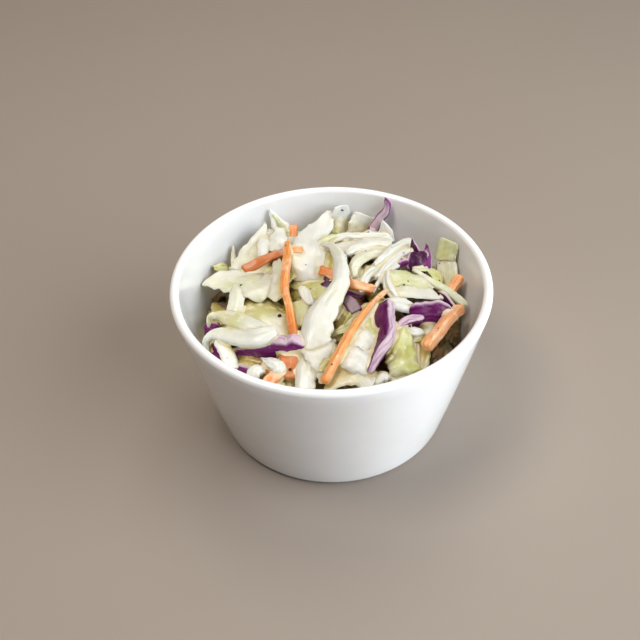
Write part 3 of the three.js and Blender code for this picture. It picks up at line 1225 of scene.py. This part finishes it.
def red_finish():
    """Wet red cabbage: purple skin round the lilac flesh of the cuts, with painted shade: a high tone
    darkens the skin, a low one dulls the flesh.
    """
    material, shader = finish_of(
        "red_cabbage",
        Subsurface_Weight=0.15,
        Subsurface_Scale=0.0015,
        Subsurface_Radius=(0.8, 0.9, 1.0),
        Coat_Weight=0.05,
        Coat_Roughness=0.2,
        Specular_IOR_Level=0.25,
    )
    place, grain, tone, _, skin, _ = shred_wires(shader)
    veins = streaks(grain, 0.14, 1.1)
    clots = noise(place, 330.0, 3.0, 0.6)
    body = tone.paint(RED_SKIN).mixed(RED_VEINS, veins.band(0.42, 0.72) * 0.8)
    # Darker skin, partly painted shade: a high tone darkens the skin.
    body = body.mixed(RED_DARK_SKIN_AND_SHADE, (tone - 0.6).band(0.0, 0.3) * 0.85)
    flesh = tone.paint(RED_FLESH).mixed(FLESH_VEINS, veins.band(0.45, 0.7))
    # Duller flesh, partly painted shade: a low tone greys the flesh.
    flesh = flesh.mixed(FLESH_DULL_AND_SHADE, 1 - tone.band(0.0, 0.5))
    cut = 1 - (skin + (clots - 0.5) * 0.2).band(0.72, 0.95)
    body = body.mixed(flesh, cut)
    body = body.mixed(RED_DRESSED, clots.band(0.56, 0.7) * 0.12)
    connect(
        shader,
        Base_Color=body,
        Roughness=clots * 0.3 + 0.2,
        Normal=bump(veins * 0.7 + clots * 0.4, 0.3 * MM, 0.7),
    )
    return material


# ---- Carrot sticks ----
# Raw carrot, machine-cut into sticks about 3 mm square with clean ends, some half buried.
CARROT_STOPS = {0.0: "A4520F", 0.5: "E68C42", 0.85: "F0A65C", 1.0: "F1BC92"}
CARROT_FIBRES = "DE7228"
CARROT_DRY = "F6C490"
CARROT_DRESSED = "F9DDC0"
CARROT_PAINTED_SHADE = "C8742A"

stick = partial(by_hand, "carrot", torn=0.3)
# A stick's tone makes it darker brown where it lies in shade and paler peach where the light falls on
# it: painted shade and light.
stick([(-12.5, 31, 43.5), (-12.5, 39.5, 44.5)], 2.8, thick=2.8)
stick(
    [(-28.6, 14.8, 45.4), (-24.5, 15.8, 46.8), (-20.5, 18, 47.6), (-14.5, 19.6, 49), (-9, 19.6, 49.7)],
    (3.6, 3.4, 2.8, 2.2, 2.6), thick=(3, 3, 2.5, 2.2), turn=30, tone=(0.15, 0.12, 0.25, 0.85),
)
stick(
    [(-3.5, 12.5, 46.6), (0.5, 9.6, 47), (6, 5, 47), (13.8, 1.6, 47.2)],
    (3.4, 3.4, 2.8), thick=3, turn=25, tone=(0.4, 0.7, 0.95, 0.9),
)
stick([(41.8, 9.6, 46), (39.8, 7.2, 44.6), (36.4, 3, 42), (33, 0, 40.5)], 3, thick=2.7, tone=0.9)
stick([(-14.6, -28.6, 43), (-17.2, -31.4, 42.2), (-19.8, -33.6, 40.8)], 4, thick=2.4, tone=0.9)
stick([(-13, -22, 43.5), (-12.8, -26, 43.7), (-13.2, -31.4, 41.6)], 5.8, thick=2.6, tone=0.2)
stick([(-22, -25.5, 41.4), (-17.5, -28.5, 41.6)], 3.2, thick=2.6, tone=0.0)
stick(
    [(40.4, -4, 44.4), (35.9, -11.4, 46.6), (31.5, -19, 47.4), (27.7, -24.8, 46.8)],
    (3, 3.6, 3.6), thick=3, turn=25, tone=(0.8, 0.95, 0.95, 0.95, 0.92),
)
stick(
    [
        (19.5, 3, 48.5), (14, -5.5, 50), (9, -14, 50.2), (4.5, -22.5, 49.5), (1, -29.5, 47.5),
        (-2.5, -36, 44.5),
    ],
    (1.1, 1.5, 1.9, 2.2, 2.4), thick=(1.2, 1.6, 2, 2.2, 2.2), turn=35, tone=(0.95, 0.85, 0.8),
)
stick(
    [
        (-14, 23.5, 50.3), (-14, 11.5, 51.3), (-14.5, 1, 50.5), (-13, -7.5, 49.3), (-12, -13.5, 48),
        (-11, -19.5, 46.5),
    ],
    (1.5, 2.5, 2.4, 2.2, 2.4, 2.8), thick=(1.6, 2.4, 2.4), turn=20, tone=(0.8, 0.75, 0.75, 0.7, 0.3),
)


def carrot_finish():
    """Wet carrot: darker fibres along it, dry pale streaks, clots of dressing on the paler, and painted
    shade deep between the shreds.
    """
    material, shader = finish_of(
        "carrot",
        Subsurface_Weight=0.4,
        Subsurface_Scale=0.002,
        Subsurface_Radius=(1.0, 0.65, 0.4),
        Coat_Weight=0.3,
        Coat_Roughness=0.2,
    )
    place, grain, tone, _, _, depth = shred_wires(shader)
    fibres = streaks(grain, 0.16, 2.4, 4.0)
    clots = noise(place, 300.0, 3.0, 0.6)
    patch = noise(place, 120.0, 2.0)
    # Low tone is dark brown orange, high tone pale peach: partly painted shade and painted light.
    body = tone.ramp(CARROT_STOPS).mixed(CARROT_FIBRES, fibres.band(0.46, 0.62) * 0.55)
    body = body.mixed(CARROT_DRY, (1 - fibres).band(0.52, 0.66) * (tone * 0.6 + 0.1))
    body = body.mixed(CARROT_DRESSED, (clots + patch * 0.6).band(0.8, 1.05) * (tone * 0.5 + 0.1))
    # Painted shade: darker orange the deeper a point lies between the shreds.
    body = body.mixed(CARROT_PAINTED_SHADE, depth.band(0.0, 1.0) * 0.7)
    connect(
        shader,
        Base_Color=body,
        Roughness=clots * 0.35 + 0.2,
        Normal=bump(fibres * 0.6 + clots * 0.4, 0.3 * MM, 0.7),
    )
    return material


# ---- Crumbs ----
# Short ends and crumbs lie in the dips that are left. With them the heap is whole, so here the
# shreds of each kind become one piece, and each point learns how deep between them it lies, for
# its painted shade.
CRUMB_COUNT = 110
CRUMB_SIZE = 0.42
CRUMB_DROP = 1.4 * MM
SHADE_REACH = 7  # rounds of smoothing
SHADE_DEPTH = 6.4 * MM


def local_top():
    """The heap's top, smoothed over a few millimetres."""
    smooth = heap_top
    for _ in range(SHADE_REACH):
        rows = np.pad(smooth, 1, mode="edge")
        smooth = (rows[:-2, 1:-1] + rows[2:, 1:-1] + rows[1:-1, :-2] + rows[1:-1, 2:]) / 4
    return smooth


target = np.minimum(local_top() - CRUMB_DROP, np.where(cell_r < HEAP_RADIUS, 1, -1))
lay_loose(CRUMB_COUNT, CRUMB_SIZE)
shade_top = np.maximum(local_top(), shade_level)


def depth_of(places):
    """How deep a point lies between the shreds round it, from 0 to 1, for its painted shade."""
    under = shade_top[cell_of(places[:, 0], places[:, 1])] - places[:, 2]
    return np.clip(under / SHADE_DEPTH, 0, 1)


def heap_piece(name, batches):
    """One mesh of many shreds, with their grain as a UV map and their looks as an attribute."""
    places, faces, grains, looks, count = [], [], [], [], 0
    for part_places, part_faces, grain, look in batches:
        faces += [tuple(v + count for v in f) for f in part_faces]
        count += len(part_places)
        places.append(part_places)
        grains.append(grain)
        looks.append(look)
    mesh = bpy.data.meshes.new(name)
    mesh.from_pydata(np.concatenate(places).tolist(), [], faces)
    corners = np.empty(len(mesh.loops), np.int32)
    mesh.loops.foreach_get("vertex_index", corners)
    grain_map = mesh.uv_layers.new(name="grain")
    grain_map.data.foreach_set("uv", np.concatenate(grains)[corners].astype(np.float32).ravel())
    look_map = mesh.color_attributes.new("look", "FLOAT_COLOR", "POINT")
    look = np.column_stack([np.concatenate(looks), depth_of(np.concatenate(places))])
    look_map.data.foreach_set("color", look.astype(np.float32).ravel())
    mesh.polygons.foreach_set("use_smooth", np.ones(len(mesh.polygons), bool))
    mesh.update()
    piece = bpy.data.objects.new(name, mesh)
    bpy.context.scene.collection.objects.link(piece)
    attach(piece, "root")
    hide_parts("coleslaw")
    return piece


white = heap_piece("white_ribs", laid["white_rib"])
white.data.materials.append(cabbage)
leaves = heap_piece("white_leaves", laid["white_leaf"])
leaves.data.materials.append(cabbage)
green = heap_piece("green_cabbage", laid["green_leaf"])
green.data.materials.append(cabbage)
red = heap_piece("red_cabbage", laid["red_cabbage"])
red.data.materials.append(red_finish())
carrot = heap_piece("carrot_sticks", laid["carrot"])
carrot.data.materials.append(carrot_finish())

# ---- Dressing ----
# Thin creamy dressing that clings to every shred and fills the creases where they touch. It is
# one skin over the whole heap, drawn tight, so that it only shows where it has run together.
DRESSING_COLOUR = "E6E2CE"
DRESSING_CLOUDS = "DBD3B0"
DRESSING_GRAIN = 0.64 * MM
DRESSING_PASSES = 9
DRESSING_DRAW = 0.14 * MM
DRESSING_LOWEST = 33 * MM

bpy.ops.object.select_all(action="DESELECT")
for piece in (white, leaves, green, red, carrot, core):
    piece.select_set(True)
bpy.context.view_layer.objects.active = white
bpy.ops.object.duplicate()
bpy.ops.object.join()
dressing = bpy.context.object
dressing.name = "dressing"
for key in list(dressing.keys()):
    del dressing[key]
dressing.data.materials.clear()
skin = dressing.modifiers.new("skin", "REMESH")
skin.mode = "VOXEL"
skin.voxel_size = DRESSING_GRAIN
skin.use_smooth_shade = True
bpy.ops.object.modifier_apply(modifier="skin")

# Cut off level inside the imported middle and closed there, and without the loose specks.
bpy.ops.object.mode_set(mode="EDIT")
bpy.ops.mesh.select_all(action="SELECT")
bpy.ops.mesh.bisect(plane_co=(0, 0, DRESSING_LOWEST), plane_no=(0, 0, 1), clear_inner=True)
bpy.ops.mesh.select_all(action="DESELECT")
bpy.ops.mesh.select_non_manifold(
    extend=False, use_wire=False, use_multi_face=False, use_non_contiguous=False, use_verts=False
)
bpy.ops.mesh.fill(use_beauty=False)
bpy.ops.mesh.select_mode(type="VERT")
bpy.ops.mesh.select_all(action="DESELECT")
bpy.ops.object.mode_set(mode="OBJECT")
highest = max(dressing.data.vertices, key=lambda vertex: vertex.co.z)
highest.select = True
bpy.ops.object.mode_set(mode="EDIT")
bpy.ops.mesh.select_linked()
bpy.ops.mesh.select_all(action="INVERT")
bpy.ops.mesh.delete(type="VERT")
bpy.ops.mesh.select_all(action="SELECT")
bpy.ops.mesh.normals_make_consistent(inside=False)
bpy.ops.object.mode_set(mode="OBJECT")

# Drawn tight over the shreds, and in, so that it only shows between them.
tight = dressing.modifiers.new("tight", "SMOOTH")
tight.factor = 0.5
tight.iterations = DRESSING_PASSES
bpy.ops.object.modifier_apply(modifier="tight")
drawn = dressing.modifiers.new("drawn", "DISPLACE")
drawn.mid_level = 0
drawn.strength = -DRESSING_DRAW
bpy.ops.object.modifier_apply(modifier="drawn")

cream_finish, shader = finish_of(
    "dressing",
    Roughness=0.25,
    Subsurface_Weight=0.6,
    Subsurface_Scale=0.002,
    Subsurface_Radius=(0.75, 0.85, 1.0),
)
place = place_of(shader)
clouds = noise(place, 140.0, 3.0)
depth = clouds.node("ShaderNodeAttribute", {"attribute_name": "depth"}, output=2)
cream = clouds.paint(DRESSING_COLOUR).mixed(DRESSING_CLOUDS, clouds.band(0.4, 0.65))
# Painted shade: the dressing darkens with depth between the shreds, as the shreds do.
connect(shader, Base_Color=cream.mixed(depth.ramp(PAINTED_SHADE_STOPS), 1.0, "MULTIPLY"))
depth_map = dressing.data.attributes.new("depth", "FLOAT", "POINT")
depth_map.data.foreach_set("value", depth_of(points_of(dressing)).astype(np.float32))
dressing.data.materials.append(cream_finish)
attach(dressing, "root")

# ---- Pepper ----
# Coarsely ground black pepper, stirred in with the dressing: angular flecks, stuck down where
# they fell.
FLECK_SIZES = (0.4, 0.9)
FLECK_DENT = 0.24
FLECK_SINK = 0.12 * MM
PEPPER_SEED = 9
TOP_FLECKS = [
    # x, y and size of the flecks on top of the shreds, in millimetres
    (4.3, 42.4, 1.3),
    (20, 20.5, 0.6),
    (11.5, 20, 0.7),
    (-28.5, 5, 0.9),
    (-16, -9, 1.4),
    (-6.5, 5.5, 0.7),
    (23, 2, 0.8),
    (-28, -7.5, 0.6),
    (-13.5, -33.5, 1.2),
    (-12.5, -29.5, 1.3),
]
MORE_FLECKS = 26
FLECK_COLOUR = "1E140D"
FLECK_HUSK = "5A4028"

bpy.ops.object.select_all(action="DESELECT")
bpy.ops.mesh.primitive_ico_sphere_add(subdivisions=2, radius=0.5)
fleck = bpy.context.object
fleck_points = np.array([v.co for v in fleck.data.vertices])
fleck_faces = [tuple(f.vertices) for f in fleck.data.polygons]
bpy.data.objects.remove(fleck)

random = np.random.default_rng(PEPPER_SEED)
spots = [np.array(spot) * MM for spot in TOP_FLECKS]
while len(spots) < len(TOP_FLECKS) + MORE_FLECKS:
    x, y = (random.random(2) * 2 - 1) * HEAP_RADIUS
    if math.hypot(x, y) < HEAP_RADIUS * 0.95:
        spots.append(np.array([x, y, random.uniform(*FLECK_SIZES) * MM]))
flecks, fleck_sides = [], []
for x, y, size in spots:
    above = Vector((x, y, 2 * CUP_HEIGHT))
    seen = bpy.context.evaluated_depsgraph_get()
    _, landing, lie, *_ = bpy.context.scene.ray_cast(seen, above, Vector((0, 0, -1)))
    stretch = size * random.uniform((0.9, 0.6, 0.4), (1.1, 0.9, 0.7))
    dents = 1 + FLECK_DENT * random.normal(size=len(fleck_points))[:, None]
    turned_fleck = np.array(Quaternion(random.normal(size=4)).normalized().to_matrix())
    flecks.append(fleck_points * dents * stretch @ turned_fleck + landing - lie * FLECK_SINK)
    first = len(fleck_points) * (len(flecks) - 1)
    fleck_sides += [tuple(v + first for v in face) for face in fleck_faces]
mesh = bpy.data.meshes.new("pepper")
mesh.from_pydata(np.concatenate(flecks).tolist(), [], fleck_sides)
pepper = bpy.data.objects.new("pepper", mesh)
bpy.context.scene.collection.objects.link(pepper)
corns, shader = finish_of("pepper", Roughness=0.6)
place = place_of(shader)
husk = noise(place, 2600.0, 3.0)
connect(
    shader,
    Base_Color=husk.paint(FLECK_COLOUR).mixed(FLECK_HUSK, husk.band(0.5, 0.7)),
    Normal=bump(husk, 0.2 * MM),
)
pepper.data.materials.append(corns)
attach(pepper, "root")
